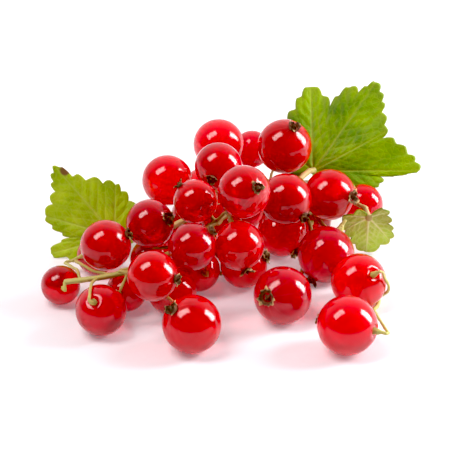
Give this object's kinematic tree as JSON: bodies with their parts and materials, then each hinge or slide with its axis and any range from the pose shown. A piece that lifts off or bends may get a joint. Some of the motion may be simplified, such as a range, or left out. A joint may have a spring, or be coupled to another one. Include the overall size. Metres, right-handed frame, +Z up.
{
  "type": "sprig of redcurrants",
  "caption": "Picked sprig of ripe redcurrants lying in a low heap: glossy round red berries on thin green-brown stalks, with lobed green leaves and a short cut twig.",
  "frame": {"origin": "middle of the sprig's footprint, on the surface that it lies on", "axes": "+Z up; +X along the heap, from the thin end of the longest strig to the large leaf; +Y away from the front, towards the cut end of the twig"},
  "size_m": [0.0776, 0.0688, 0.027],
  "materials": {
    "berry_skin": "glossy translucent red berry skin with a dark dried flower at its tip",
    "fruit_stalk": "satin green stalk, browner where it is older",
    "leaf_stalk": "satin yellow-green leaf stalk",
    "leaf_blade": "satin yellow-green leaf with paler veins",
    "leaf_underside": "matt pale olive underside of a leaf with raised veins",
    "bark": "rough grey-brown bark with a pale cut end"
  },
  "bodies": {
    "root": {"fruit_back_01": "berry_skin", "fruit_back_02": "berry_skin", "fruit_back_03": "berry_skin", "fruit_back_04": "berry_skin", "fruit_back_05": "berry_skin", "fruit_back_06": "berry_skin", "fruit_back_07": "berry_skin", "fruit_back_08": "berry_skin", "fruit_back_09": "berry_skin", "fruit_front_01": "berry_skin", "fruit_front_02": "berry_skin", "fruit_front_03": "berry_skin", "fruit_front_04": "berry_skin", "fruit_front_05": "berry_skin", "fruit_front_06": "berry_skin", "fruit_front_07": "berry_skin", "fruit_front_08": "berry_skin", "fruit_front_09": "berry_skin", "fruit_front_10": "berry_skin", "fruit_front_11": "berry_skin", "fruit_front_12": "berry_skin", "fruit_front_13": "berry_skin", "fruit_front_14": "berry_skin", "fruit_front_15": "berry_skin", "fruit_front_16": "berry_skin", "fruit_front_17": "berry_skin", "fruit_front_18": "berry_skin", "fruit_front_19": "berry_skin", "fruit_middle_01": "berry_skin", "fruit_middle_02": "berry_skin", "fruit_middle_03": "berry_skin", "fruit_right_01": "berry_skin", "fruit_right_02": "berry_skin", "fruit_right_03": "berry_skin", "fruit_right_04": "berry_skin", "fruit_right_05": "berry_skin", "leaf_left": "leaf_blade", "leaf_right": "leaf_blade", "leaf_small": "leaf_underside", "leaf_stalk_left": "leaf_stalk", "leaf_stalk_right": "leaf_stalk", "leaf_stalk_small": "leaf_stalk", "strig_stalk_back": "fruit_stalk", "strig_stalk_front": "fruit_stalk", "strig_stalk_middle": "fruit_stalk", "strig_stalk_right": "fruit_stalk", "twig": "bark"}
  },
  "joints": []
}
